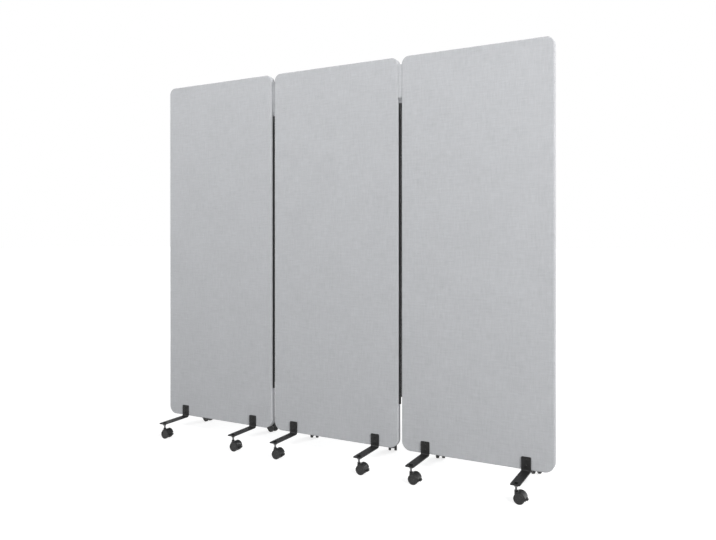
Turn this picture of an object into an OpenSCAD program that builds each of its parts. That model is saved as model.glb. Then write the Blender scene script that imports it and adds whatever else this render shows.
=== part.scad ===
// Rolling partition: three fabric-covered panels in a row, joined edge to edge by two zips.
// Each panel stands on four bent steel strips, and each strip on a swivel caster.
// X runs along the row, Y from front to back, and Z up from the floor.
// The origin lies on the floor, in the middle of the row.

/* [Panel] */
// Width of one panel
panel_w = 610; // [500:5:900]
// Height of one panel
panel_h = 1604; // [1200:4:2000]
// Thickness of one panel over its cover
panel_t = 30; // [18:1:40]
// Radius of the panel's corners
corner_r = 40; // [20:5:80]
// Thickness of the fabric cover
cover_t = 1.5; // [1:0.25:3]
// Gap between two panels, which the zip closes
panel_gap = 19; // [17:1:30]

/* [Bracket] */
// Width of the steel strip
strip_w = 36; // [30:1:60]
// Thickness of the steel strip
strip_t = 4; // [3:0.5:6]
// Height of the upright plate over the panel's lower edge
plate_rise = 49; // [46:1:80]
// Length of the arm out from the panel's face
arm_reach = 161; // [140:1:220]
// Distance from the panel's side to the middle of a bracket
bracket_inset = 103; // [80:1:150]
// Drop from the panel's lower edge to the arm's top
arm_drop = 3; // [2:0.5:6]
// Radius inside the bend
bend_r = 5; // [3:1:10]
// Radius of the strip's corners
strip_corner_r = 4; // [2:1:8]

/* [Fixings] */
// Diameter of the screw's thread
screw_d = 5; // [4:1:6]
// Length of the screw under its head
screw_len = 18; // [14:1:20]
// Diameter of the screw's head
screw_head_d = 9.5; // [8:0.5:12]
// Height of the screw's head
screw_head_h = 2.8; // [2:0.2:4]
// Width across the flats of the key socket in each head
key_w = 3; // [2:0.5:4]
// Depth of the key socket in each head
key_depth = 1.4; // [1:0.1:1.8]
// Diameter of the sleeve nut's barrel
barrel_d = 8; // [8:0.5:10]
// Diameter of the sleeve nut's head
barrel_head_d = 12; // [11:0.5:16]
// Height of the sleeve nut's head
barrel_head_h = 2.2; // [2:0.2:4]
// Height of the lower screw over the panel's lower edge
screw_rise = 16; // [14:1:20]
// Distance between the two screws of a bracket
screw_pitch = 20; // [18:1:24]

/* [Stem] */
// Diameter of the stem's thread and of its pin
stem_d = 8; // [6:1:10]
// Distance from the arm's tip to the stem
stem_inset = 18; // [14:1:30]
// Length of stem between the caster's neck and the arm
stem_show = 20.5; // [12:0.5:40]
// Height of the hexagonal shoulder under the arm
shoulder_h = 8; // [4:0.5:10]
// Width across the flats of the shoulder and the nut
hex_w = 13; // [13:1:17]
// Height of the nut on the arm
stem_nut_h = 4; // [3:0.5:7]
// Length of thread that stands out of the nut
thread_end = 1; // [0.5:0.5:4]
// Depth of the pin in the caster's neck
pin_depth = 24; // [18:1:28]
// Width of the groove that holds the caster on its pin
groove_w = 2.4; // [1.6:0.2:4]
// Depth of that groove
groove_depth = 0.7; // [0.4:0.1:1]
// Height of the groove over the pin's lower end
groove_rise = 4; // [3:0.5:8]

/* [Caster] */
// Diameter of a wheel
wheel_d = 40; // [36:2:60]
// Width of one wheel
wheel_w = 11.5; // [8:0.5:16]
// Distance that the axle trails behind the stem
trail = 13.7; // [12:0.1:18]
// Diameter of the axle
axle_d = 5; // [4:0.5:6]
// Wall of the neck round the pin
neck_wall = 2.5; // [2:0.25:4]
// Height of the neck over the top of the wheels
neck_rise = 4.5; // [4:0.5:10]
// Thickness of the floor under the pin
neck_floor = 3; // [2:0.5:5]
// Gap between the wheels and the hood over them
hood_gap = 1; // [0.6:0.1:2]
// Thickness of the hood
hood_t = 2.2; // [1.6:0.2:4]
// Gap between the neck and the wheels on its two sides
wheel_side_gap = 0.5; // [0.3:0.1:1.5]
// Chamfer at the edges of the tread
tread_chamfer = 1.5; // [0.5:0.25:3]
// Width of the rim round the wheel's dish
rim_w = 4.5; // [3:0.5:7]
// Depth of the wheel's dish
dish_depth = 2; // [1:0.25:3]
// Radius of the wheel's hub
hub_r = 5.5; // [4.5:0.5:8]

/* [Brake pedal] */
// Width of the pedal's lever between the cheeks
lever_w = 6; // [4:0.5:7]
// Gap between the brake shoe and the treads when it is off
shoe_gap = 1.2; // [1.2:0.1:2]
// Thickness of the brake shoe
shoe_t = 3; // [2:0.25:4]
// Diameter of the pedal's pin
pedal_pin_d = 2.5; // [2:0.25:3]
// Wall of the pedal's eye round its pin
pedal_eye_wall = 1.3; // [1:0.1:1.6]
// Width of the pedal's tab
tab_w = 18; // [10:1:30]
// Length of the tab out of the brake shoe
tab_len = 5.3; // [3:0.1:9]
// Thickness of the tab
tab_t = 3; // [2:0.25:4]

/* [Zip] */
// Height of the zip's foot, on its longer half, over the panel's lower edge
zip_foot_rise = 182; // [120:2:300]
// Height from that foot to the start of the shorter half
zip_half_step = 41; // [20:1:80]
// Drop from the panel's top to the zip's upper end
zip_top_drop = 186; // [150:2:300]
// Thickness of the zip's tape
tape_t = 0.8; // [0.5:0.1:1.2]
// Diameter of the bead of teeth along each half
bead_d = 2.6; // [2:0.1:3]
// Gap between the two beads
bead_gap = 1.6; // [1.4:0.1:2]
// Thickness of the cloth flap over the zip's upper end
flap_t = 1.2; // [0.8:0.1:2]
// Height of the stop at the end of each bead
stop_h = 4; // [3:0.5:8]
// Height of the box at the foot of the shorter half
box_h = 11; // [8:0.5:16]

/* [Zip slider] */
// Height of the slider
slider_h = 12; // [9:0.5:16]
// Width of the slider
slider_w = 6.8; // [6.4:0.2:7.2]
// Thickness of each of the slider's plates
slider_plate_t = 0.9; // [0.7:0.1:1.4]
// Distance between the slider's two plates
slider_mouth = 7.2; // [7:0.1:8]
// Height of the bridge between the slider's plates
bridge_h = 4; // [3:0.5:6]
// Diameter of the pin that holds the pull
pull_pin_d = 1.4; // [1.2:0.1:1.6]
// Distance from the slider's front to the pull's pin
pull_pin_out = 2; // [1.9:0.1:2.4]
// Width of the pull
pull_w = 4.4; // [4:0.2:5]
// Length of the pull below its pin
pull_len = 18; // [12:1:20]
// Thickness of the pull
pull_t = 1; // [0.8:0.1:1.4]
// Width of the pull's eye
pull_eye_w = 2.8; // [2:0.2:3.2]
// Wall of the pull's eye round its pin
pull_eye_wall = 1; // [0.7:0.1:1.1]
// Thickness of each ear that holds the pull's pin
ear_t = 0.8; // [0.6:0.1:1.2]

/* [Hidden] */
PANELS = ["left", "middle", "right"];
FACES = ["front", "rear"];
SIDES = ["left", "right"];
PANEL_PIECES = [
    "panel_board", "panel_cover", "front_brackets", "rear_brackets",
    "bracket_screws", "sleeve_nuts", "caster_stems"
];
ZIP_PIECES = ["inner_tape", "outer_tape", "slider", "pull"];

function panel_node(p, piece) = str(PANELS[p], "_", piece);
function zip_node(side, piece) = str(SIDES[side], "_zip_", piece);
function caster_node(p, face, side, piece) = str(PANELS[p], "_", FACES[face], "_", SIDES[side], "_", piece);

// Radial clearance of a pin that turns in its bore
turn_clear = 0.05;
// Radial clearance of a shaft or barrel that is pushed home and stays
push_clear = 0.02;
// Radial clearance of a bolt or barrel in its hole
hole_clear = 0.2;
// Clearance of a flat piece that moves beside another
slide_clear = 0.2;
// Overlap with which a cut passes the face that it opens
cut_over = 1;

// Smoothness of small and of large curves
small_fn = 48;
large_fn = 96;

// Heights, from the floor up
axle_z = wheel_d / 2;
neck_top_z = wheel_d + neck_rise;
pin_foot_z = neck_top_z - pin_depth;
arm_under_z = neck_top_z + stem_show;
arm_top_z = arm_under_z + strip_t;
panel_foot_z = arm_top_z + arm_drop;
panel_top_z = panel_foot_z + panel_h;
plate_top_z = panel_foot_z + plate_rise;
bend_z = arm_top_z + bend_r;
screw_zs = [panel_foot_z + screw_rise, panel_foot_z + screw_rise + screw_pitch];

// Places across the row's thickness
face_y = panel_t / 2;
plate_y = face_y + strip_t;
tip_y = face_y + arm_reach;
stem_y = tip_y - stem_inset;

// Screw and sleeve nut: the barrel stops short of the front plate
barrel_gap = 1;
barrel_len = panel_t + strip_t - barrel_gap;
barrel_mouth_y = -plate_y + strip_t + barrel_gap;
screw_foot_y = screw_len - plate_y;
thread_room = 2;

// Caster, seen from its axle
wheel_r = wheel_d / 2;
neck_d = stem_d + 2 * neck_wall;
wheel_in = neck_d / 2 + wheel_side_gap;
wheel_out = wheel_in + wheel_w;
// The web is a little narrower than the neck
web_step = 1;
web_w = neck_d - web_step;
hood_in_r = wheel_r + hood_gap;
hood_out_r = hood_in_r + hood_t;
hood_start = 125;
hood_end = -20;
braked_hood_end = 10;
// Radius of the disc round the axle between the wheels
hub_disc_r = 11;
hub_disc_w = 2 * (wheel_in - slide_clear);
// Depth of the hub and of the axle's ends under the wheel's outer face
hub_sink = 0.5;
axle_sink = 2.5;
axle_len = 2 * (wheel_out - axle_sink);
axle_hole_len = axle_len / 2 + slide_clear;

// Brake pedal, seen from the axle
// Depth of the pedal's pin under the tread
pedal_pin_sink = 2.4;
pedal_pin_r = wheel_r - pedal_pin_sink;
pedal_pin_angle = 32;
pedal_pin_x = pedal_pin_r * cos(pedal_pin_angle);
pedal_pin_z = pedal_pin_r * sin(pedal_pin_angle);
pedal_eye_r = pedal_pin_d / 2 + pedal_eye_wall;
shoe_in_r = wheel_r + shoe_gap;
shoe_out_r = shoe_in_r + shoe_t;
// The lever passes under the end of the hood before it turns out to the shoe
lever_hood_gap = 0.5;
lever_bend_r = hood_in_r - lever_hood_gap;
lever_bend = 6;
shoe_top = 4;
shoe_foot = -14;
tab_angle = -6;
// How deep the lever's end lies in the shoe, and how far it reaches in under it
lever_sink = 1;
lever_root = 2;
lever_top = [shoe_out_r * cos(shoe_top) - lever_sink, shoe_out_r * sin(shoe_top)];
lever_foot = [shoe_out_r * cos(shoe_foot) - lever_sink, shoe_out_r * sin(shoe_foot) + lever_sink];
lever_foot_in_z = shoe_in_r * sin(shoe_foot) + lever_sink;
// How much narrower than the wheels the shoe is
shoe_step = 1;
// Wall of the disc beside the lever's slot, and the room over the pedal's eye
slot_wall = 0.8;
slot_room = 1;
slot_x = hub_disc_r + slot_wall;
slot_top_z = pedal_pin_z + pedal_eye_r + slot_room;

// Zip: each axis stands in the middle of its gap
zip_foot_z = panel_foot_z + zip_foot_rise;
short_foot_z = zip_foot_z + zip_half_step;
zip_top_z = panel_top_z - zip_top_drop;
flap_top_z = panel_top_z - corner_r;
bead_x = (bead_gap + bead_d) / 2;
bead_r = bead_d / 2;
// How far a stop stands out past its bead
stop_lip = 0.3;
stop_r = bead_r + stop_lip;
tape_len = panel_gap / 2;

// Slider, parked under the stops at the zip's upper end
park_gap = 2;
slider_top_z = zip_top_z - stop_h - park_gap;
slider_foot_z = slider_top_z - slider_h;
slider_mid_z = (slider_top_z + slider_foot_z) / 2;
slider_in_y = slider_mouth / 2;
slider_out_y = slider_in_y + slider_plate_t;
pull_pin_y = -slider_out_y - pull_pin_out;
pull_pin_lift = 2;
pull_pin_z = slider_mid_z + pull_pin_lift;
pull_eye_r = pull_pin_d / 2 + pull_eye_wall;
ear_in = pull_eye_w / 2 + slide_clear;
// Wall of each ear round the pull's pin
ear_wall = 0.6;
ear_r = pull_pin_d / 2 + ear_wall;
// Length of the pull's neck under its eye
pull_neck_len = 2;
pull_neck = pull_eye_r + pull_neck_len;

function panel_x(p) = (p - 1) * (panel_w + panel_gap);
function zip_x(side) = (side - 0.5) * (panel_w + panel_gap);
function side_sign(side) = 2 * side - 1;
function bracket_x(p, side) = panel_x(p) + side_sign(side) * (panel_w / 2 - bracket_inset);
// At rest the front casters trail to the right, and the rear ones of each panel at an angle of their own
REAR_TURNS = [165, 115, 120];
function rest_turn(p, face) = face == 0 ? 0 : REAR_TURNS[p];

// A flat plate in the XZ plane with round corners, from y0 to y0 + t
module round_plate(w, h, t, r, y0) {
    translate([-w / 2 + r, y0, 0]) cube([w - 2 * r, t, h]);
    translate([-w / 2, y0, r]) cube([w, t, h - 2 * r]);
    for (x = [-w / 2 + r, w / 2 - r], z = [r, h - r])
        translate([x, y0, z]) rotate([-90, 0, 0]) cylinder(r = r, h = t, $fn = large_fn);
}

// A round bar along Y, from y0 to y0 + len
module bar_y(r, len, y0, fn = small_fn) {
    translate([0, y0, 0]) rotate([-90, 0, 0]) cylinder(r = r, h = len, $fn = fn);
}

// A bent bar round the Y axis between two radii and two angles, w wide
module arc_bar(r1, r2, w, a1, a2) {
    rotate([90, 0, 0])
        rotate([0, 0, a1])
            rotate_extrude(angle = a2 - a1, $fn = large_fn)
                translate([r1, -w / 2]) square([r2 - r1, w]);
}

// Puts its children at each of the four screws of a panel
module at_screws(p) {
    for (side = [0:1], z = screw_zs)
        translate([bracket_x(p, side), 0, z]) children();
}

// Puts its children at a stem, with +X the way that the caster trails
module at_stem(p, face, side) {
    translate([bracket_x(p, side), side_sign(face) * stem_y, 0])
        rotate([0, 0, rest_turn(p, face)]) children();
}

// Puts its children at the axle of a caster
module at_axle(p, face, side) {
    at_stem(p, face, side) translate([trail, 0, axle_z]) children();
}

// The holes that the sleeve nuts run through
module barrel_holes(p) {
    at_screws(p) bar_y(barrel_d / 2 + hole_clear, panel_t + 2 * cut_over, -face_y - cut_over);
}

module panel_board(p) {
    color([0.80, 0.76, 0.68])
    difference() {
        translate([panel_x(p), 0, panel_foot_z + cover_t])
            round_plate(panel_w - 2 * cover_t, panel_h - 2 * cover_t,
                        panel_t - 2 * cover_t, corner_r - cover_t, cover_t - face_y);
        barrel_holes(p);
    }
}

// The flap reaches from the middle panel's side nearly to the outer panel
module zip_flap(side) {
    reach = panel_gap - slide_clear;
    left = side == 0 ? -panel_w / 2 - reach : panel_w / 2;
    translate([left, -flap_t / 2, zip_top_z + slide_clear])
        cube([reach, flap_t, flap_top_z - zip_top_z - slide_clear]);
}

module panel_cover(p) {
    color([0.74, 0.75, 0.77])
    difference() {
        union() {
            translate([panel_x(p), 0, panel_foot_z])
                round_plate(panel_w, panel_h, panel_t, corner_r, -face_y);
            if (p == 1)
                for (side = [0:1]) zip_flap(side);
        }
        translate([panel_x(p), 0, panel_foot_z + cover_t])
            round_plate(panel_w - 2 * cover_t, panel_h - 2 * cover_t,
                        panel_t - 2 * cover_t, corner_r - cover_t, cover_t - face_y);
        barrel_holes(p);
    }
}

// A strip bent to an L: the plate stands on the panel's face and the arm runs out in front
module bent_strip(hole_r) {
    difference() {
        union() {
            plate_h = plate_top_z - bend_z;
            translate([-strip_w / 2, -plate_y, bend_z]) cube([strip_w, strip_t, plate_h - strip_corner_r]);
            translate([-strip_w / 2 + strip_corner_r, -plate_y, bend_z])
                cube([strip_w - 2 * strip_corner_r, strip_t, plate_h]);
            for (x = [-1, 1] * (strip_w / 2 - strip_corner_r))
                translate([x, 0, plate_top_z - strip_corner_r]) bar_y(strip_corner_r, strip_t, -plate_y);
            translate([strip_w / 2, -plate_y - bend_r, bend_z])
                rotate([0, -90, 0])
                    rotate([0, 0, 90])
                        rotate_extrude(angle = 90, $fn = large_fn)
                            translate([bend_r, 0]) square([strip_t, strip_w]);
            arm_len = tip_y - plate_y - bend_r;
            translate([-strip_w / 2, -tip_y + strip_corner_r, arm_under_z])
                cube([strip_w, arm_len - strip_corner_r, strip_t]);
            translate([-strip_w / 2 + strip_corner_r, -tip_y, arm_under_z])
                cube([strip_w - 2 * strip_corner_r, arm_len, strip_t]);
            for (x = [-1, 1] * (strip_w / 2 - strip_corner_r))
                translate([x, -tip_y + strip_corner_r, arm_under_z])
                    cylinder(r = strip_corner_r, h = strip_t, $fn = small_fn);
        }
        for (z = screw_zs)
            translate([0, 0, z]) bar_y(hole_r, strip_t + 2 * cut_over, -plate_y - cut_over);
        translate([0, -stem_y, arm_under_z - cut_over])
            cylinder(r = stem_d / 2 + hole_clear, h = strip_t + 2 * cut_over, $fn = small_fn);
    }
}

module front_brackets(p) {
    color([0.10, 0.10, 0.11])
    for (side = [0:1])
        translate([bracket_x(p, side), 0, 0]) bent_strip(screw_d / 2 + hole_clear);
}

module rear_brackets(p) {
    color([0.10, 0.10, 0.11])
    for (side = [0:1])
        translate([bracket_x(p, side), 0, 0])
            mirror([0, 1, 0]) bent_strip(barrel_d / 2 + hole_clear);
}

// A low domed head on the XY plane, rising along +Z, with a key socket
module domed_head(d, h) {
    difference() {
        rotate_extrude($fn = small_fn)
            polygon([[0, 0], [d / 2, 0], [d / 2, 0.35 * h], [0.42 * d, 0.7 * h], [0.3 * d, h], [0, h]]);
        translate([0, 0, h - key_depth])
            cylinder(r = key_w / sqrt(3), h = key_depth + cut_over, $fn = 6);
    }
}

module bracket_screws(p) {
    color([0.13, 0.13, 0.14])
    at_screws(p) {
        bar_y(screw_d / 2, screw_len, -plate_y);
        translate([0, -plate_y, 0]) rotate([90, 0, 0]) domed_head(screw_head_d, screw_head_h);
    }
}

module sleeve_nuts(p) {
    color([0.13, 0.13, 0.14])
    at_screws(p) {
        difference() {
            bar_y(barrel_d / 2, barrel_len, plate_y - barrel_len);
            bar_y(screw_d / 2 + turn_clear, screw_foot_y + thread_room - barrel_mouth_y + cut_over,
                  barrel_mouth_y - cut_over);
        }
        translate([0, plate_y, 0]) rotate([-90, 0, 0]) domed_head(barrel_head_d, barrel_head_h);
    }
}

// The stem: pin with its groove, shoulder under the arm, thread through it and nut on top
module caster_stem() {
    groove_z = pin_foot_z + groove_rise;
    shoulder_z = arm_under_z - shoulder_h;
    thread_top_z = arm_top_z + stem_nut_h + thread_end;
    translate([0, 0, pin_foot_z]) cylinder(d = stem_d, h = groove_rise, $fn = small_fn);
    translate([0, 0, groove_z])
        cylinder(r = stem_d / 2 - groove_depth, h = groove_w, $fn = small_fn);
    translate([0, 0, groove_z + groove_w])
        cylinder(d = stem_d, h = thread_top_z - groove_z - groove_w, $fn = small_fn);
    translate([0, 0, shoulder_z]) cylinder(r = hex_w / sqrt(3), h = shoulder_h, $fn = 6);
}

module stem_nut() {
    difference() {
        translate([0, 0, arm_top_z]) cylinder(r = hex_w / sqrt(3), h = stem_nut_h, $fn = 6);
        translate([0, 0, arm_top_z - cut_over])
            cylinder(r = stem_d / 2 + turn_clear, h = stem_nut_h + 2 * cut_over, $fn = small_fn);
    }
}

module caster_stems(p) {
    color([0.70, 0.71, 0.73])
    for (face = [0:1], side = [0:1])
        at_stem(p, face, side) {
            caster_stem();
            stem_nut();
        }
}

// Half of a zip, drawn on the +X side of its axis: tape, bead of teeth and the stop at its top
module zip_half(foot_z) {
    len = zip_top_z - foot_z;
    translate([bead_x, -tape_t / 2, foot_z]) cube([tape_len - bead_x, tape_t, len]);
    translate([bead_x, 0, foot_z]) cylinder(r = bead_r, h = len - stop_h, $fn = small_fn);
    translate([bead_x, 0, zip_top_z - stop_h]) cylinder(r = stop_r, h = stop_h, $fn = small_fn);
}

// The longer half, on the left of the axis, with the box that the shorter half's bead stands on
module longer_half() {
    mirror([1, 0, 0]) zip_half(zip_foot_z);
    translate([-bead_x - stop_r, -stop_r, short_foot_z - box_h - slide_clear])
        cube([2 * (bead_x + stop_r), 2 * stop_r, box_h]);
}

// The half on the middle panel, which lies left of the right zip's axis
module zip_inner_tape(side) {
    color([0.09, 0.09, 0.10])
    translate([zip_x(side), 0, 0]) {
        if (side == 1) longer_half();
        else zip_half(short_foot_z);
    }
}

// The half on the outer panel, which lies left of the left zip's axis
module zip_outer_tape(side) {
    color([0.09, 0.09, 0.10])
    translate([zip_x(side), 0, 0]) {
        if (side == 0) longer_half();
        else zip_half(short_foot_z);
    }
}

// The slider: two plates, the bridge between the beads, and two ears with the pull's pin
module zip_slider(side) {
    color([0.12, 0.12, 0.13])
    translate([zip_x(side), 0, 0])
        mirror([1 - side, 0, 0]) {
            for (y = [-slider_out_y, slider_in_y])
                translate([-slider_w / 2, y, slider_foot_z]) cube([slider_w, slider_plate_t, slider_h]);
            bridge_left = -bead_gap / 2 + slide_clear;
            bridge_right = slide_clear / 2;
            translate([bridge_left, -slider_in_y, slider_top_z - bridge_h])
                cube([bridge_right - bridge_left, slider_mouth, bridge_h]);
            for (x = [-ear_in - ear_t, ear_in])
                translate([x, pull_pin_y, pull_pin_z]) {
                    rotate([0, 90, 0]) cylinder(r = ear_r, h = ear_t, $fn = small_fn);
                    translate([0, 0, -ear_r]) cube([ear_t, pull_pin_out, 2 * ear_r]);
                }
            translate([-ear_in - ear_t / 2, pull_pin_y, pull_pin_z])
                rotate([0, 90, 0])
                    cylinder(d = pull_pin_d, h = 2 * ear_in + ear_t, $fn = small_fn);
        }
}

// The pull hangs from its pin: a narrow neck at the eye, then a wider tongue
module zip_pull(side) {
    color([0.12, 0.12, 0.13])
    translate([zip_x(side), pull_pin_y, pull_pin_z])
        difference() {
            union() {
                translate([-pull_eye_w / 2, 0, 0])
                    rotate([0, 90, 0]) cylinder(r = pull_eye_r, h = pull_eye_w, $fn = small_fn);
                translate([-pull_eye_w / 2, -pull_t / 2, -pull_neck])
                    cube([pull_eye_w, pull_t, pull_neck]);
                translate([-pull_w / 2, -pull_t / 2, -pull_len + pull_w / 2])
                    cube([pull_w, pull_t, pull_len - pull_w / 2 - pull_neck]);
                translate([0, 0, -pull_len + pull_w / 2]) bar_y(pull_w / 2, pull_t, -pull_t / 2);
            }
            translate([-pull_eye_w / 2 - cut_over, 0, 0])
                rotate([0, 90, 0])
                    cylinder(r = pull_pin_d / 2 + turn_clear, h = pull_eye_w + 2 * cut_over, $fn = small_fn);
        }
}

// The web between the wheels, with a wider disc round the axle; a braked one has a slot for the pedal
module hood_web(end_angle, braked) {
    difference() {
        union() {
            arc_bar(hub_disc_r / 2, hood_in_r + hood_t / 2, web_w, end_angle, hood_start);
            bar_y(hub_disc_r, hub_disc_w, -hub_disc_w / 2, large_fn);
        }
        if (braked)
            translate([slot_x, -lever_w / 2 - slide_clear, -wheel_r])
                cube([wheel_d, lever_w + 2 * slide_clear, wheel_r + slot_top_z]);
    }
}

// The socket in the neck: two wide stretches and the ridge that sits in the pin's groove
module neck_socket() {
    wide_r = stem_d / 2 + turn_clear;
    ridge_r = stem_d / 2 - groove_depth + turn_clear;
    ridge_z = pin_foot_z + groove_rise + slide_clear;
    ridge_top_z = ridge_z + groove_w - 2 * slide_clear;
    translate([0, 0, pin_foot_z]) cylinder(r = wide_r, h = ridge_z - pin_foot_z, $fn = small_fn);
    translate([0, 0, pin_foot_z]) cylinder(r = ridge_r, h = pin_depth, $fn = small_fn);
    translate([0, 0, ridge_top_z])
        cylinder(r = wide_r, h = neck_top_z - ridge_top_z + cut_over, $fn = small_fn);
}

module caster_hood(p, face, side) {
    braked = face == 0;
    end_angle = braked ? braked_hood_end : hood_end;
    color([0.11, 0.11, 0.12]) {
        difference() {
            union() {
                at_axle(p, face, side) hood_web(end_angle, braked);
                at_axle(p, face, side) arc_bar(hood_in_r, hood_out_r, 2 * wheel_out, end_angle, hood_start);
                at_stem(p, face, side) translate([0, 0, pin_foot_z - neck_floor])
                    cylinder(d = neck_d, h = pin_depth + neck_floor, $fn = large_fn);
            }
            at_stem(p, face, side) neck_socket();
            at_axle(p, face, side)
                bar_y(axle_d / 2 + turn_clear, hub_disc_w + 2 * cut_over, -hub_disc_w / 2 - cut_over);
            if (braked)
                at_axle(p, face, side) translate([pedal_pin_x, 0, pedal_pin_z])
                    bar_y(pedal_pin_d / 2 + push_clear, web_w + 2 * cut_over, -web_w / 2 - cut_over);
        }
        if (braked)
            at_axle(p, face, side) translate([pedal_pin_x, 0, pedal_pin_z])
                bar_y(pedal_pin_d / 2, web_w, -web_w / 2);
    }
}

// One wheel on the +Y side: tread with chamfered edges, dished outer face, hub
module wheel() {
    rim_r = wheel_r - rim_w;
    rotate([-90, 0, 0])
        difference() {
            rotate_extrude($fn = large_fn)
                polygon([
                    [0, wheel_in], [wheel_r - tread_chamfer, wheel_in],
                    [wheel_r, wheel_in + tread_chamfer], [wheel_r, wheel_out - tread_chamfer],
                    [wheel_r - tread_chamfer, wheel_out], [rim_r, wheel_out],
                    [rim_r - dish_depth / 2, wheel_out - dish_depth],
                    [hub_r + dish_depth / 2, wheel_out - dish_depth],
                    [hub_r, wheel_out - hub_sink], [0, wheel_out - hub_sink]
                ]);
            translate([0, 0, -wheel_in])
                cylinder(r = axle_d / 2 + push_clear, h = wheel_in + axle_hole_len, $fn = small_fn);
        }
}

module caster_wheels(p, face, side) {
    at_axle(p, face, side) {
        color([0.16, 0.16, 0.17]) wheel();
        color([0.16, 0.16, 0.17]) mirror([0, 1, 0]) wheel();
        color([0.70, 0.71, 0.73]) bar_y(axle_d / 2, axle_len, -axle_len / 2);
    }
}

// The pedal: an eye and lever between the web's cheeks, a shoe across both treads, a tab for the toe
module brake_pedal(p, side) {
    color([0.08, 0.08, 0.09])
    at_axle(p, 0, side)
        difference() {
            union() {
                translate([pedal_pin_x, 0, pedal_pin_z]) bar_y(pedal_eye_r, lever_w, -lever_w / 2);
                translate([0, lever_w / 2, 0])
                    rotate([90, 0, 0])
                        linear_extrude(lever_w)
                            polygon([
                                [pedal_pin_x - pedal_eye_r, pedal_pin_z],
                                [pedal_pin_x + pedal_eye_r, pedal_pin_z],
                                [lever_bend_r * cos(lever_bend), lever_bend_r * sin(lever_bend)],
                                lever_top,
                                lever_foot,
                                [shoe_in_r * cos(shoe_foot) - lever_root, lever_foot_in_z]
                            ]);
                arc_bar(shoe_in_r, shoe_out_r, 2 * wheel_out - shoe_step, shoe_foot, shoe_top);
                rotate([0, -tab_angle, 0])
                    translate([shoe_in_r + shoe_t / 2, -tab_w / 2, -tab_t / 2])
                        cube([shoe_t / 2 + tab_len, tab_w, tab_t]);
            }
            translate([pedal_pin_x, 0, pedal_pin_z])
                bar_y(pedal_pin_d / 2 + turn_clear, lever_w + 2 * cut_over, -lever_w / 2 - cut_over);
        }
}

module panel_piece(p, piece) {
    if (piece == "panel_board") panel_board(p);
    if (piece == "panel_cover") panel_cover(p);
    if (piece == "front_brackets") front_brackets(p);
    if (piece == "rear_brackets") rear_brackets(p);
    if (piece == "bracket_screws") bracket_screws(p);
    if (piece == "sleeve_nuts") sleeve_nuts(p);
    if (piece == "caster_stems") caster_stems(p);
}

module zip_piece(side, piece) {
    if (piece == "inner_tape") zip_inner_tape(side);
    if (piece == "outer_tape") zip_outer_tape(side);
    if (piece == "slider") zip_slider(side);
    if (piece == "pull") zip_pull(side);
}

for (p = [0:2], piece = PANEL_PIECES)
    panel_piece(p, piece);

for (side = [0:1], piece = ZIP_PIECES)
    zip_piece(side, piece);

for (p = [0:2], face = [0:1], side = [0:1]) {
    caster_hood(p, face, side);
    caster_wheels(p, face, side);
}

for (p = [0:2], side = [0:1])
    brake_pedal(p, side);
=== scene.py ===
# Rolling partition: three fabric-covered panels on casters, joined by two zips.
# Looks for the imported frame: fabric covers, zips with teeth, and a material for every piece. Metres, floor at z = 0.
import math

import bmesh
import bpy
from mathutils import Matrix, Vector


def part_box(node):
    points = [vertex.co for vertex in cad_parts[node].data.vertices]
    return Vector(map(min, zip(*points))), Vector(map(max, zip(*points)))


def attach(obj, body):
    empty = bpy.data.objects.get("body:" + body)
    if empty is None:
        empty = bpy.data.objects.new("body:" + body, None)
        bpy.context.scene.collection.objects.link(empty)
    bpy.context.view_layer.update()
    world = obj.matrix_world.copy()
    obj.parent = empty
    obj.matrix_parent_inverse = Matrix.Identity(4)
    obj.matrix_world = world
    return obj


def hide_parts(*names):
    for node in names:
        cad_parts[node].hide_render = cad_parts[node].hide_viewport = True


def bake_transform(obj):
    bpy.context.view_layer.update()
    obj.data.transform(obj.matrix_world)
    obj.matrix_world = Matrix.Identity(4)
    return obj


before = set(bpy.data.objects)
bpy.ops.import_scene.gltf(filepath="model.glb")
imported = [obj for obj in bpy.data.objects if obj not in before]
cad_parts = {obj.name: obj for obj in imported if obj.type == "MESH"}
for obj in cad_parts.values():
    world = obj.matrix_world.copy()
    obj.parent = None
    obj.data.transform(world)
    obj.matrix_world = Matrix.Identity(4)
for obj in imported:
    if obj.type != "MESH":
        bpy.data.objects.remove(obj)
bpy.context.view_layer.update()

SCENE = bpy.context.scene
PANELS = ("left", "middle", "right")


# ---------------------------------------------------------------- camera

def make_camera():
    """The photograph's camera: a level one with its frame shifted down, turned 28 degrees to the left."""
    yaw, roll = math.radians(28.062), math.radians(-0.026)
    focal_px, axis_px, width_px, height_px = 671.423, 239.226, 716, 540
    across = Vector((math.cos(yaw), math.sin(yaw), 0))
    ahead = Vector((-math.sin(yaw), math.cos(yaw), 0))
    up = Vector((0, 0, 1))
    right_axis = across * math.cos(roll) + up * math.sin(roll)
    up_axis = up * math.cos(roll) - across * math.sin(roll)
    data = bpy.data.cameras.new("camera")
    data.sensor_width = 36
    data.lens = focal_px / width_px * data.sensor_width
    data.shift_y = (axis_px - height_px / 2) / width_px
    data.clip_start, data.clip_end = 0.05, 200
    camera = bpy.data.objects.new("camera", data)
    SCENE.collection.objects.link(camera)
    turn = Matrix((right_axis, up_axis, -ahead)).transposed().to_4x4()
    camera.matrix_world = Matrix.Translation((1.45465, -2.514996, 0.930846)) @ turn
    SCENE.camera = camera


# ---------------------------------------------------------------- shader building

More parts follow.
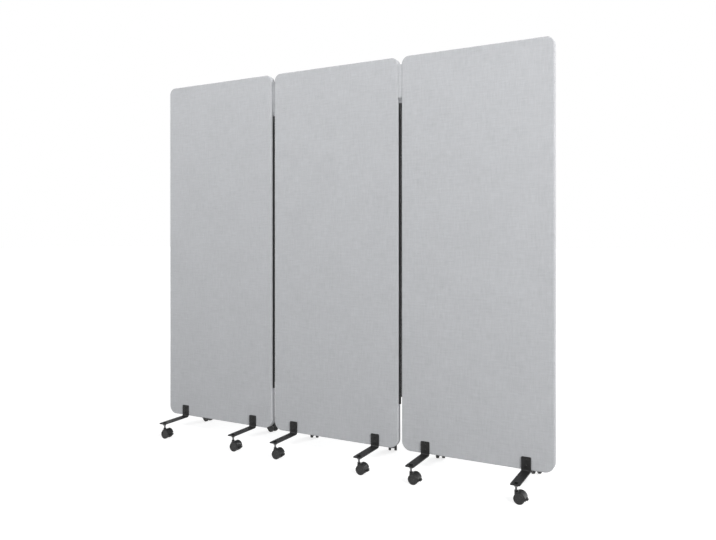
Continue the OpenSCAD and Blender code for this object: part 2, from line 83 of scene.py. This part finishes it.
class Shader:
    """A material under construction: nodes are added by type, and sockets take numbers, colours or other sockets."""

    def __init__(self, name, **surface):
        self.material = bpy.data.materials.new(name)
        self.material.use_nodes = True
        self.tree = self.material.node_tree
        self.surface = self.tree.nodes["Principled BSDF"]
        for socket, value in surface.items():
            self.surface.inputs[socket.replace("_", " ")].default_value = value

    def add(self, kind, inputs=None, **settings):
        node = self.tree.nodes.new("ShaderNode" + kind)
        for key, value in settings.items():
            setattr(node, key, value)
        for socket, value in (inputs or {}).items():
            self.put(node.inputs[socket], value)
        return node

    def put(self, socket, value):
        if isinstance(value, bpy.types.NodeSocket):
            self.tree.links.new(value, socket)
        else:
            socket.default_value = value

    def math(self, operation, *values, clamp=False):
        node = self.add("Math", dict(enumerate(values)), operation=operation, use_clamp=clamp)
        return node.outputs[0]

    def place(self):
        """The point being shaded, in the object's own metres."""
        return self.add("TexCoord").outputs["Object"]

    def stretched(self, point, scale):
        return self.add("VectorMath", {0: point, 1: scale}, operation="MULTIPLY").outputs[0]

    def noise(self, point, scale=1.0, detail=2.0, roughness=0.5):
        node = self.add("TexNoise", {"Vector": point, "Scale": scale, "Detail": detail, "Roughness": roughness})
        return node.outputs[0]

    def ramp(self, value, low, high, to_low=0.0, to_high=1.0):
        node = self.add("MapRange", {0: value, 1: low, 2: high, 3: to_low, 4: to_high})
        return node.outputs[0]

    def mixed(self, share, colour_a, colour_b):
        node = self.add("Mix", data_type="RGBA")
        for socket, value in ((node.inputs[0], share), (node.inputs[6], colour_a), (node.inputs[7], colour_b)):
            self.put(socket, value)
        return node.outputs[2]

    def bump(self, height, distance, strength=1.0, under=None):
        node = self.add("Bump", {"Height": height, "Distance": distance, "Strength": strength})
        if under is not None:
            self.put(node.inputs["Normal"], under)
        return node.outputs[0]

    def finish(self, colour=None, roughness=None, normal=None):
        for socket, value in (("Base Color", colour), ("Roughness", roughness), ("Normal", normal)):
            if value is not None:
                self.put(self.surface.inputs[socket], value)
        return self.material


def grey(level, tint=(1, 1, 1)):
    """A grey of a level, with its channels multiplied by a tint."""
    return (level * tint[0], level * tint[1], level * tint[2], 1)


# ---------------------------------------------------------------- materials

FABRIC_TINT = (0.985, 1.0, 1.03)
STRIP_T = 0.004


def woven_place(s):
    """Along the weft and the warp: across the face and up it, and along the thickness on the panel's edges."""
    x, y, z = s.add("SeparateXYZ", {0: s.place()}).outputs
    normal_z = s.add("SeparateXYZ", {0: s.add("TexCoord").outputs["Normal"]}).outputs[2]
    lies = s.math("MULTIPLY", normal_z, normal_z)
    return s.math("ADD", x, y), s.math("ADD", z, s.math("MULTIPLY", y, lies))


def fabric(name, yarn=0.0011, level=0.48):
    """Heathered cloth: a plain weave of yarns, each with its own tint, with slubs along both directions."""
    s = Shader(name, Roughness=0.92, Sheen_Weight=0.12, Sheen_Roughness=0.45, Specular_IOR_Level=0.25)
    u, v = woven_place(s)
    flat = s.add("CombineXYZ", {0: u, 1: v}).outputs[0]
    turn = math.pi / yarn
    over = s.math("MULTIPLY", s.math("SINE", s.math("MULTIPLY", u, turn)),
                  s.math("SINE", s.math("MULTIPLY", v, turn)))
    warp = s.noise(s.stretched(flat, (0.9 / yarn, 28, 1)), detail=1)
    weft = s.noise(s.stretched(flat, (28, 0.9 / yarn, 1)), detail=1)
    top_yarn = s.math("GREATER_THAN", over, 0.0)
    tint = s.add("Mix", {0: top_yarn, 2: warp, 3: weft}).outputs[0]
    long_slub = s.noise(s.stretched(flat, (150, 17, 1)), detail=3, roughness=0.6)
    cross_slub = s.noise(s.stretched(flat, (17, 150, 1)), detail=3, roughness=0.6)
    slub = s.math("MULTIPLY", s.math("ADD", long_slub, cross_slub), 0.5)
    cloud = s.noise(flat, scale=7, detail=3)
    shade = s.math("ADD", s.ramp(tint, 0.25, 0.75, -0.16, 0.16),
                   s.math("ADD", s.ramp(slub, 0.3, 0.7, -0.13, 0.13), s.ramp(cloud, 0.3, 0.7, -0.03, 0.03)))
    share = s.math("ADD", shade, 0.5, clamp=True)
    colour = s.mixed(share, grey(level * 0.7, FABRIC_TINT), grey(level * 1.3, FABRIC_TINT))
    yarns = s.bump(over, yarn * 0.18, 0.6)
    lumps = s.bump(slub, 0.0012, 0.35, under=yarns)
    return s.finish(colour, normal=lumps)


def powder_coat(name, level=0.008):
    """Black powder coating on steel, with its fine orange peel and a little wear."""
    s = Shader(name, Specular_IOR_Level=0.3)
    point = s.place()
    peel = s.noise(point, scale=900, detail=3)
    dust = s.noise(point, scale=45, detail=5, roughness=0.65)
    colour = s.mixed(s.ramp(dust, 0.35, 0.75), grey(level), grey(level * 1.7))
    return s.finish(colour, s.ramp(dust, 0.3, 0.7, 0.42, 0.56), s.bump(peel, 0.00025, 0.5))


def moulded_nylon(name, level=0.009, low=0.24, high=0.4):
    """Moulded nylon with a fine spark-eroded grain and soft scuffs."""
    s = Shader(name, Specular_IOR_Level=0.45)
    point = s.place()
    grain = s.noise(point, scale=1500, detail=2)
    scuffs = s.noise(s.stretched(point, (1, 1, 2.6)), scale=140, detail=5, roughness=0.7)
    colour = s.mixed(s.ramp(scuffs, 0.45, 0.8), grey(level), grey(level * 1.8))
    return s.finish(colour, s.ramp(scuffs, 0.3, 0.75, low, high), s.bump(grain, 0.00012, 0.5))


def stem_steel(name, arm_top, level=0.16):
    """Dull plated steel with turned marks; the nut and thread over the arm are blackened."""
    s = Shader(name, Metallic=1.0)
    point = s.place()
    height = s.add("SeparateXYZ", {0: point}).outputs[2]
    marks = s.noise(s.stretched(point, (1, 1, 30)), scale=260, detail=3)
    clouds = s.noise(point, scale=120, detail=4)
    plated = s.mixed(clouds, grey(level * 0.82, (1, 1, 1.02)), grey(level * 1.15, (1.02, 1.01, 1)))
    black = s.mixed(clouds, grey(0.018), grey(0.035))
    over = s.math("GREATER_THAN", height, arm_top)
    return s.finish(s.mixed(over, plated, black), s.ramp(marks, 0.3, 0.7, 0.3, 0.48), s.bump(marks, 0.0001, 0.4))


def black_oxide(name, level=0.014):
    """Blackened steel of screws and nuts, brighter where the key has worn it."""
    s = Shader(name, Metallic=0.6)
    point = s.place()
    wear = s.noise(point, scale=600, detail=5, roughness=0.7)
    colour = s.mixed(s.ramp(wear, 0.6, 0.78), grey(level), grey(level * 3))
    return s.finish(colour, s.ramp(wear, 0.3, 0.7, 0.34, 0.5), s.bump(wear, 0.00008, 0.5))


def tape_cloth(name, level=0.016):
    """The zip's woven tape: fine ribs across it in a herringbone."""
    s = Shader(name, Roughness=0.85, Sheen_Weight=0.1, Sheen_Roughness=0.5, Specular_IOR_Level=0.3)
    x, y, z = s.add("SeparateXYZ", {0: s.place()}).outputs
    zigzag = s.math("PINGPONG", s.math("ADD", x, y), 0.0012)
    ribs = s.math("SINE", s.math("MULTIPLY", s.math("ADD", z, zigzag), 2 * math.pi / 0.0008))
    fluff = s.noise(s.place(), scale=700, detail=3)
    colour = s.mixed(s.ramp(s.math("ADD", ribs, fluff), -0.6, 1.7), grey(level * 0.6), grey(level * 1.7))
    return s.finish(colour, normal=s.bump(ribs, 0.00012, 0.6))


def zip_teeth(name, level=0.02):
    """Moulded acetal teeth, smooth, with faint flow marks."""
    s = Shader(name, Specular_IOR_Level=0.5)
    flow = s.noise(s.stretched(s.place(), (1, 1, 0.3)), scale=900, detail=3)
    colour = s.mixed(flow, grey(level * 0.8), grey(level * 1.3))
    return s.finish(colour, s.ramp(flow, 0.3, 0.7, 0.26, 0.38), s.bump(flow, 0.00005, 0.4))


def fibre_board(name):
    """The board inside the cover, pressed from fine fibres."""
    s = Shader(name, Roughness=0.8, Specular_IOR_Level=0.3)
    fibres = s.noise(s.stretched(s.place(), (1, 1, 0.5)), scale=650, detail=6, roughness=0.75)
    flecks = s.noise(s.place(), scale=160, detail=2)
    colour = s.mixed(s.ramp(fibres, 0.3, 0.7), (0.30, 0.20, 0.12, 1), (0.52, 0.39, 0.25, 1))
    return s.finish(s.mixed(s.ramp(flecks, 0.62, 0.7), colour, (0.2, 0.13, 0.08, 1)),
                    normal=s.bump(fibres, 0.0002, 0.5))


def make_materials():
    """Every material by its name."""
    strip_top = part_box("middle_front_brackets")[0][2] + STRIP_T
    return {
        "cover_fabric": fabric("cover_fabric"),
        "strip_steel": powder_coat("strip_steel"),
        "black_fixings": black_oxide("black_fixings"),
        "stem_steel": stem_steel("stem_steel", strip_top),
        "zip_tape": tape_cloth("zip_tape"),
        "zip_teeth": zip_teeth("zip_teeth"),
        "zip_metal": black_oxide("zip_metal", 0.035),
        "hood_nylon": moulded_nylon("hood_nylon"),
        "wheel_nylon": moulded_nylon("wheel_nylon", 0.012, 0.38, 0.55),
        "pedal_nylon": moulded_nylon("pedal_nylon", 0.007, 0.32, 0.5),
        "board": fibre_board("board"),
    }


# ---------------------------------------------------------------- mesh helpers

def mesh_piece(name, points, faces, material, smooth=True):
    """A mesh object from points and faces, with one material."""
    mesh = bpy.data.meshes.new(name)
    mesh.from_pydata([tuple(p) for p in points], [], [tuple(f) for f in faces])
    mesh.validate()
    piece = bpy.data.objects.new(name, mesh)
    SCENE.collection.objects.link(piece)
    mesh.materials.append(material)
    if smooth:
        mesh.polygons.foreach_set("use_smooth", [True] * len(mesh.polygons))
    return piece


def tidy_mesh(piece, merge, inwards=False):
    """Merges points closer than merge and turns all faces outwards, or all inwards."""
    shape = bmesh.new()
    shape.from_mesh(piece.data)
    bmesh.ops.remove_doubles(shape, verts=shape.verts, dist=merge)
    bmesh.ops.recalc_face_normals(shape, faces=shape.faces)
    if inwards:
        bmesh.ops.reverse_faces(shape, faces=shape.faces)
    shape.to_mesh(piece.data)
    shape.free()


def join_into(piece, other):
    """Adds another piece's mesh to this one and deletes the other."""
    shape = bmesh.new()
    shape.from_mesh(piece.data)
    shape.from_mesh(other.data)
    shape.to_mesh(piece.data)
    shape.free()
    bpy.data.meshes.remove(other.data)


# ---------------------------------------------------------------- fabric covers

# The corners of the solids, and the tighter ones to which the cloth is pulled at the top and at the foot
CORNER_R = 0.040
TOP_CORNER_R, FOOT_CORNER_R = 0.030, 0.037
COVER_T = 0.0015
# Radius along the panel's edges, and how far round them the seam lies
EDGE_R = 0.003
SEAM_OFF = 0.0022
# Cells along a skin's width and height, and steps round each of its corners
SKIN_CELLS = (53, 152, 10)
LINING_CELLS = (6, 16, 10)
# How far the stretched cloth dips, how much its waves add or take, and where its dip starts and is full
DIP, WAVE, DIP_START, DIP_RUN = 0.00026, 0.00006, 0.008, 0.05


def runs(low, high, cells):
    """The starts of equal cells between two values."""
    return [low + (high - low) * i / cells for i in range(cells)]


def ring(low, high, inset, cells_x, cells_z, arc):
    """Points round a rounded rectangle at an inset from its outline, as many at every inset."""
    x0, x1, z0, z1 = low[0] + CORNER_R, high[0] - CORNER_R, low[2] + CORNER_R, high[2] - CORNER_R
    out = CORNER_R - inset
    up, along = runs(z0, z1, cells_z), runs(x0, x1, cells_x)
    sides = (
        (x1, z0, -90, [(x1 + out, z) for z in up]),
        (x1, z1, 0, [(x0 + x1 - x, z1 + out) for x in along]),
        (x0, z1, 90, [(x0 - out, z0 + z1 - z) for z in up]),
        (x0, z0, 180, [(x, z0 - out) for x in along]),
    )
    points = []
    for cx, cz, start, straight in sides:
        r = out * (TOP_CORNER_R if cz == z1 else FOOT_CORNER_R) / CORNER_R
        mid_x = cx + (out - r) * (1 if cx == x1 else -1)
        mid_z = cz + (out - r) * (1 if cz == z1 else -1)
        for i in range(arc):
            a = math.radians(start + 90 * i / arc)
            points.append((mid_x + r * math.cos(a), mid_z + r * math.sin(a)))
        points += straight
    return points


def skin(low, high, profile, cells_x, cells_z, arc):
    """A closed skin swept round the panel by a profile of (inset, y), with a grid over both faces."""
    points, faces = [], []
    for inset, y in profile:
        points += [(x, y, z) for x, z in ring(low, high, inset, cells_x, cells_z, arc)]
    count = len(points) // len(profile)
    for r in range(len(profile) - 1):
        for i in range(count):
            j = (i + 1) % count
            faces.append((r * count + i, r * count + j, (r + 1) * count + j, (r + 1) * count + i))
    x0, x1, z0, z1 = low[0] + CORNER_R, high[0] - CORNER_R, low[2] + CORNER_R, high[2] - CORNER_R
    for y in (profile[0][1], profile[-1][1]):
        base = len(points)
        points += [(x, y, z) for z in [*runs(z0, z1, cells_z), z1] for x in [*runs(x0, x1, cells_x), x1]]
        for row in range(cells_z):
            for col in range(cells_x):
                a = base + row * (cells_x + 1) + col
                faces.append((a, a + 1, a + cells_x + 2, a + cells_x + 1))
    return points, faces


def outer_profile(half):
    """From the front face over the seam and the panel's edge to the middle, then mirrored: (inset, y)."""
    front = [(inset, -half) for inset in (CORNER_R, 0.029, 0.020, 0.013, 0.008, EDGE_R + 0.0016)]
    for i in range(6):
        a = math.radians(18 * i)
        front.append((EDGE_R - EDGE_R * math.sin(a), EDGE_R - half - EDGE_R * math.cos(a)))
    seam = EDGE_R - half + SEAM_OFF
    front += [(0.0, seam - 0.0007), (0.0003, seam), (0.0, seam + 0.0007), (0.0, seam + 0.003), (0.0, -0.0012)]
    return front + [(inset, -y) for inset, y in reversed(front)]


def eased(points, low, high, half, seed):
    """Lets the stretched cloth dip under its plane by up to half a millimetre, the same at every run."""
    waves = ((2.1, 1.3, 0.4), (4.7, 3.1, 2.2), (1.2, 5.3, 4.0), (7.9, 2.2, 5.1))
    moved = []
    for x, y, z in points:
        if abs(abs(y) - half) < 1e-7:
            edge = min(x - low[0], high[0] - x, z - low[2], high[2] - z)
            fade = min(1.0, max(0.0, (edge - DIP_START) / DIP_RUN))
            sign = 1 if y > 0 else -1
            wave = sum(math.sin(2 * math.pi * (a * x + b * z) / 0.9 + c * seed + sign) for a, b, c in waves)
            y -= sign * fade * (DIP - WAVE * wave)
        moved.append((x, y, z))
    return moved


def panel_sides(panel):
    """The X of a panel's left and right edge, over its cover."""
    low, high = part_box(panel + "_panel_board")
    return low[0] - COVER_T, high[0] + COVER_T


def make_cover(panel, seed, material):
    """A panel's cover: its outer skin, and a lining turned inwards that faces the board."""
    node, board = panel + "_panel_cover", panel + "_panel_board"
    low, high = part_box(node)
    low[0], high[0] = panel_sides(panel)
    half = high[1]
    points, faces = skin(low, high, outer_profile(half), *SKIN_CELLS)
    points = eased(points, low, high, half, seed)
    inner = COVER_T - half
    lining = [(CORNER_R, inner), (COVER_T, inner), (COVER_T, -inner), (CORNER_R, -inner)]
    inside = mesh_piece(panel + "_lining", *skin(low, high, lining, *LINING_CELLS), material)
    tidy_mesh(inside, 1e-6, inwards=True)
    piece = mesh_piece(panel + "_cover", points, faces, material)
    tidy_mesh(piece, 1e-6)
    join_into(piece, inside)
    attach(piece, panel + "_screen")
    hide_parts(node)


# A flap's half thickness, its bulge and columns and rows, and its Y at the foot and further up on each side
FLAP_HALF_T, FLAP_BULGE, FLAP_COLUMNS, FLAP_ROWS = 0.0006, 0.0012, 12, 36
FLAP_FOOT_Y = -0.002
FLAP_TOP_Y = {"left": -0.0055, "right": -0.0125}
# It starts over the zip, stays back as high as the pull reaches, and comes forward over the same height
FLAP_CLEAR, FLAP_BACK = 0.0002, 0.010


def make_flap(side, zip_x, half_gap, low_z, high_z, material):
    """The cloth over a zip's upper end, sewn to both panels: behind the pull at its foot, further out over it."""
    sign = 1 if zip_x > 0 else -1
    columns, rows = FLAP_COLUMNS, FLAP_ROWS
    points, faces = [], []
    for face in (-1, 1):
        for r in range(rows + 1):
            z = low_z + (high_z - low_z) * r / rows
            rise = min(1.0, max(0.0, (z - low_z - FLAP_BACK) / FLAP_BACK))
            depth = FLAP_FOOT_Y + (FLAP_TOP_Y[side] - FLAP_FOOT_Y) * rise * rise * (3 - 2 * rise)
            hem = 0.0004 if r in (1, 2, rows - 2, rows - 1) else 0.0
            for c in range(columns + 1):
                t = c / columns
                crown = FLAP_BULGE * math.sin(math.pi * t) * (0.8 + 0.2 * math.sin(60 * z))
                y = depth - crown + face * (FLAP_HALF_T + hem * math.sin(math.pi * t))
                points.append((zip_x + sign * half_gap * (2 * t - 1), y, z))

    def at(face, r, c):
        return (face * (rows + 1) + r) * (columns + 1) + c

    for r in range(rows):
        for c in range(columns):
            for face in (0, 1):
                faces.append((at(face, r, c), at(face, r, c + 1), at(face, r + 1, c + 1), at(face, r + 1, c)))
    for r in range(rows):
        for c in (0, columns):
            faces.append((at(0, r, c), at(0, r + 1, c), at(1, r + 1, c), at(1, r, c)))
    for c in range(columns):
        for r in (0, rows):
            faces.append((at(0, r, c), at(0, r, c + 1), at(1, r, c + 1), at(1, r, c)))
    piece = mesh_piece(side + "_zip_flap", points, faces, material)
    tidy_mesh(piece, 1e-7)
    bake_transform(piece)


# ---------------------------------------------------------------- zips

PITCH = 0.003
# How far each half's teeth end from the zip's axis, past it where the value is negative
TIPS = {"inner": -0.0001, "outer": 0.0002}
# Below the foot box, the longer half's teeth end further out
LONG_TIP = 0.0012
# The foot box and its clearance under the shorter half, the stops, and the pin under the shorter half's teeth
BOX_H, BOX_CLEAR, BOX_HALF_W, FOOT_HALF_T = 0.011, 0.0002, 0.0037, 0.0016
STOP_H = 0.004
PIN_Z, PIN_HALF_H = 0.0046, 0.0044
TAPE_LEVELS = 160


def loft(points, faces, stations):
    """Adds a closed block through rectangles (x, half y, middle z, half z)."""
    base = len(points)
    for x, hy, z, hz in stations:
        points += [(x, -hy, z - hz), (x, hy, z - hz), (x, hy, z + hz), (x, -hy, z + hz)]
    for s in range(len(stations) - 1):
        for i in range(4):
            a, b = base + 4 * s, base + 4 * s + 4
            faces.append((a + i, a + (i + 1) % 4, b + (i + 1) % 4, b + i))
    last = base + 4 * (len(stations) - 1)
    faces += [(base, base + 1, base + 2, base + 3), (last, last + 1, last + 2, last + 3)]


def tooth(points, faces, axis_x, way, z, tip):
    """One tooth on its tape's corded edge, its tapered head at a distance tip from the zip's axis."""
    reach = ((0.0036, 0.0007, 0.0006), (0.0032, 0.0013, 0.0009), (0.0016, 0.0013, 0.0009),
             (tip + 0.0007, 0.0009, 0.00055), (tip + 0.0003, 0.0004, 0.00085), (tip, 0.00008, 0.0006))
    loft(points, faces, [(axis_x + way * x, hy, z, hz) for x, hy, hz in reach])


def chamfered(points, faces, low, high, cut):
    """A block with its upper and lower edges cut back."""
    middle, half = (Vector(low) + Vector(high)) / 2, (Vector(high) - Vector(low)) / 2
    steps = ((-1, cut), (-1 + cut / half[0], 0), (1 - cut / half[0], 0), (1, cut))
    loft(points, faces, [(middle[0] + t * half[0], half[1] - c, middle[2], half[2] - c) for t, c in steps])


def make_ribbon(side, half, axis_x, half_gap, way, material):
    """The woven tape of one half, with its corded edge, in place of the CAD half."""
    node = f"{side}_zip_{half}_tape"
    low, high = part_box(node)
    foot, top = low[2], high[2]
    cord = TIPS[half] + 0.0001
    front = [(half_gap, 0.0003), (cord + 0.0016, 0.0003), (cord + 0.0012, 0.0005), (cord + 0.0007, 0.0007),
             (cord + 0.0002, 0.0004)]
    section = [(x, -y) for x, y in front] + [(cord, 0.0)] + [(x, y) for x, y in reversed(front)]
    points, faces = [], []
    for k in range(TAPE_LEVELS + 1):
        z = foot + (top - foot) * k / TAPE_LEVELS
        points += [(axis_x + way * x, y, z) for x, y in section]
    n = len(section)
    for k in range(TAPE_LEVELS):
        for i in range(n):
            j = (i + 1) % n
            faces.append((k * n + i, k * n + j, (k + 1) * n + j, (k + 1) * n + i))
    faces += [tuple(range(n)), tuple(TAPE_LEVELS * n + i for i in range(n))]
    ribbon = mesh_piece(f"{side}_zip_{half}_ribbon", points, faces, material)
    tidy_mesh(ribbon, 1e-7)
    ribbon.data.polygons[-1].use_smooth = ribbon.data.polygons[-2].use_smooth = False
    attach(ribbon, zip_body(side, half))
    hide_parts(node)


def make_foot_box(points, faces, axis_x, way, foot, box_high):
    """The foot box on the longer half, and that half's teeth under it."""
    box_low = box_high - BOX_H
    chamfered(points, faces, (axis_x - BOX_HALF_W, -FOOT_HALF_T, box_low),
              (axis_x + BOX_HALF_W, FOOT_HALF_T, box_high), 0.0005)
    z = foot + 0.0015
    while z < box_low - 0.001:
        tooth(points, faces, axis_x, way, z, LONG_TIP)
        z += PITCH


def make_foot_pin(points, faces, axis_x, way, foot):
    """The pin at the foot of the shorter half."""
    shape = ((0.0036, 0.0006), (0.0032, 0.0011), (0.0018, 0.0011), (0.0014, 0.0006))
    loft(points, faces, [(axis_x + way * x, hy, foot + PIN_Z, PIN_HALF_H) for x, hy in shape])


def make_teeth(side, half, axis_x, way, material):
    """One half's row of teeth, half a pitch higher on the outer half, with its foot piece and top stop."""
    other = "inner" if half == "outer" else "outer"
    low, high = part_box(f"{side}_zip_{half}_tape")
    foot, top = low[2], high[2]
    other_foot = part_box(f"{side}_zip_{other}_tape")[0][2]
    stop_foot = top - STOP_H
    points, faces = [], []
    if foot < other_foot:
        box_high = other_foot - BOX_CLEAR
        make_foot_box(points, faces, axis_x, way, foot, box_high)
        first = box_high + 0.0014
    else:
        make_foot_pin(points, faces, axis_x, way, foot)
        first = foot + 0.0012 + 0.009
    z = first + (PITCH / 2 if half == "outer" else 0.0)
    while z < stop_foot - 0.0012:
        tooth(points, faces, axis_x, way, z, TIPS[half])
        z += PITCH
    near, far = sorted((axis_x + way * 0.0006, axis_x + way * BOX_HALF_W))
    chamfered(points, faces, (near, -FOOT_HALF_T, stop_foot), (far, FOOT_HALF_T, top), 0.0004)
    teeth = mesh_piece(f"{side}_zip_{half}_teeth", points, faces, material, smooth=False)
    tidy_mesh(teeth, 1e-8)
    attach(teeth, zip_body(side, half))


def zip_body(side, half):
    """The body that a half is sewn to."""
    return side + "_screen" if half == "outer" else "middle_screen"


def make_zip_half(side, half, axis_x, half_gap, way, materials):
    """A tape and its row of teeth. way is the side of the axis that they lie on."""
    make_ribbon(side, half, axis_x, half_gap, way, materials["zip_tape"])
    make_teeth(side, half, axis_x, way, materials["zip_teeth"])


# ---------------------------------------------------------------- CAD nodes that stay

# Node name's ending: its material, and how much of its sharp edges is broken
FINISHES = {
    "panel_board": ("board", 0.0),
    "front_brackets": ("strip_steel", 0.0005),
    "rear_brackets": ("strip_steel", 0.0005),
    "bracket_screws": ("black_fixings", 0.0002),
    "sleeve_nuts": ("black_fixings", 0.0002),
    "caster_stems": ("stem_steel", 0.0004),
    "zip_slider": ("zip_metal", 0.0002),
    "zip_pull": ("zip_metal", 0.0002),
    "caster_hood": ("hood_nylon", 0.0006),
    "caster_wheels": ("wheel_nylon", 0.0004),
    "brake_pedal": ("pedal_nylon", 0.0005),
}


def dress_nodes(materials):
    """Gives each carried-over node its material and breaks its sharp edges."""
    for name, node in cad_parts.items():
        ending = next((e for e in FINISHES if name.endswith(e)), None)
        if ending is None:
            continue
        material, width = FINISHES[ending]
        node.data.materials.clear()
        node.data.materials.append(materials[material])
        if width:
            edges = node.modifiers.new("edges", "BEVEL")
            edges.limit_method = "ANGLE"
            edges.angle_limit = math.radians(38)
            edges.width = width
            edges.segments = 2
            edges.harden_normals = False


# ---------------------------------------------------------------- stage and light

# Name, place, aim, width in metres and power in watts; the one behind lights the panels' side faces in the gaps
LAMPS = (
    ("key", (4.3, -2.2, 3.0), (0.4, 0, 1.2), 1.2, 240),
    ("overhead", (-0.7, -1.9, 3.5), (-0.3, 0, 1.2), 2.4, 36),
    ("fill", (-2.6, -3.6, 2.0), (-0.2, 0, 0.8), 2.2, 64),
    ("rear", (1.5, 3.4, 2.2), (-0.2, 0, 0.6), 1.8, 125),
)
SKY_STRENGTH = 0.2
FLOOR_HALF = 60


def seen_share(s):
    """1 for what the camera sees, straight or in gloss or through glass."""
    path = s.add("LightPath").outputs
    seen = s.math("MAXIMUM", path["Is Camera Ray"], path["Is Glossy Ray"])
    return s.math("MAXIMUM", seen, path["Is Transmission Ray"])


def make_floor():
    """A pale floor that keeps the shadow near the object and turns white away from it."""
    s = Shader("floor", Roughness=0.9, Specular_IOR_Level=0.1)
    s.surface.inputs["Base Color"].default_value = grey(0.34)
    glow = s.add("Emission", {"Color": grey(1.0)})
    away = s.add("VectorMath", {0: s.place()}, operation="LENGTH").outputs["Value"]
    strength = s.math("MULTIPLY", seen_share(s), s.ramp(away, 1.6, 3.6, 0.78, 1.0))
    s.put(glow.inputs["Strength"], strength)
    total = s.add("AddShader", {0: s.surface.outputs[0], 1: glow.outputs[0]})
    output = next(n for n in s.tree.nodes if n.type == "OUTPUT_MATERIAL")
    s.put(output.inputs["Surface"], total.outputs[0])
    corners = [(x * FLOOR_HALF, y * FLOOR_HALF, 0) for x, y in ((-1, -1), (1, -1), (1, 1), (-1, 1))]
    floor = mesh_piece("floor", corners, [(0, 1, 2, 3)], s.material, smooth=False)


def make_world():
    """Soft sky light, with a white background for what the camera sees, straight or in gloss or through glass."""
    world = bpy.data.worlds.new("studio")
    SCENE.world = world
    world.use_nodes = True
    tree = world.node_tree
    nodes, links = tree.nodes, tree.links
    sky = nodes["Background"]
    path = nodes.new("ShaderNodeLightPath")
    white = nodes.new("ShaderNodeBackground")
    pick = nodes.new("ShaderNodeMixShader")
    seen = path.outputs["Is Camera Ray"]
    for other in ("Is Glossy Ray", "Is Transmission Ray"):
        either = nodes.new("ShaderNodeMath")
        either.operation = "MAXIMUM"
        links.new(seen, either.inputs[0])
        links.new(path.outputs[other], either.inputs[1])
        seen = either.outputs[0]
    sky.inputs["Color"].default_value = (0.93, 0.96, 1.0, 1)
    sky.inputs["Strength"].default_value = SKY_STRENGTH
    white.inputs["Color"].default_value = (1, 1, 1, 1)
    white.inputs["Strength"].default_value = 1.0
    links.new(seen, pick.inputs[0])
    links.new(sky.outputs[0], pick.inputs[1])
    links.new(white.outputs[0], pick.inputs[2])
    links.new(pick.outputs[0], nodes["World Output"].inputs["Surface"])


def make_lamp(name, place, aim, size, power):
    """A round soft lamp at a place, turned to its aim: size is its width in metres, and power is in watts."""
    data = bpy.data.lights.new(name, "AREA")
    data.shape, data.size, data.energy = "DISK", size, power
    lamp = bpy.data.objects.new(name, data)
    SCENE.collection.objects.link(lamp)
    lamp.location = place
    lamp.rotation_euler = (Vector(aim) - Vector(place)).to_track_quat("-Z", "Y").to_euler()


# ---------------------------------------------------------------- build

SCENE.view_settings.view_transform = "Standard"
make_camera()
make_world()
make_floor()
for lamp in LAMPS:
    make_lamp(*lamp)

materials = make_materials()
dress_nodes(materials)
for seed, panel in enumerate(PANELS):
    make_cover(panel, seed, materials["cover_fabric"])
for side, sign in (("left", -1), ("right", 1)):
    near = sign * panel_sides("middle")[1]
    far = panel_sides(side)[0 if sign > 0 else 1]
    axis_x, half_gap = (near + far) / 2, abs(far - near) / 2
    flap_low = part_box(side + "_zip_inner_tape")[1][2] + FLAP_CLEAR
    flap_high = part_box(side + "_panel_cover")[1][2] - TOP_CORNER_R
    make_flap(side, axis_x, half_gap, flap_low, flap_high, materials["cover_fabric"])
    make_zip_half(side, "inner", axis_x, half_gap, -sign, materials)
    make_zip_half(side, "outer", axis_x, half_gap, sign, materials)
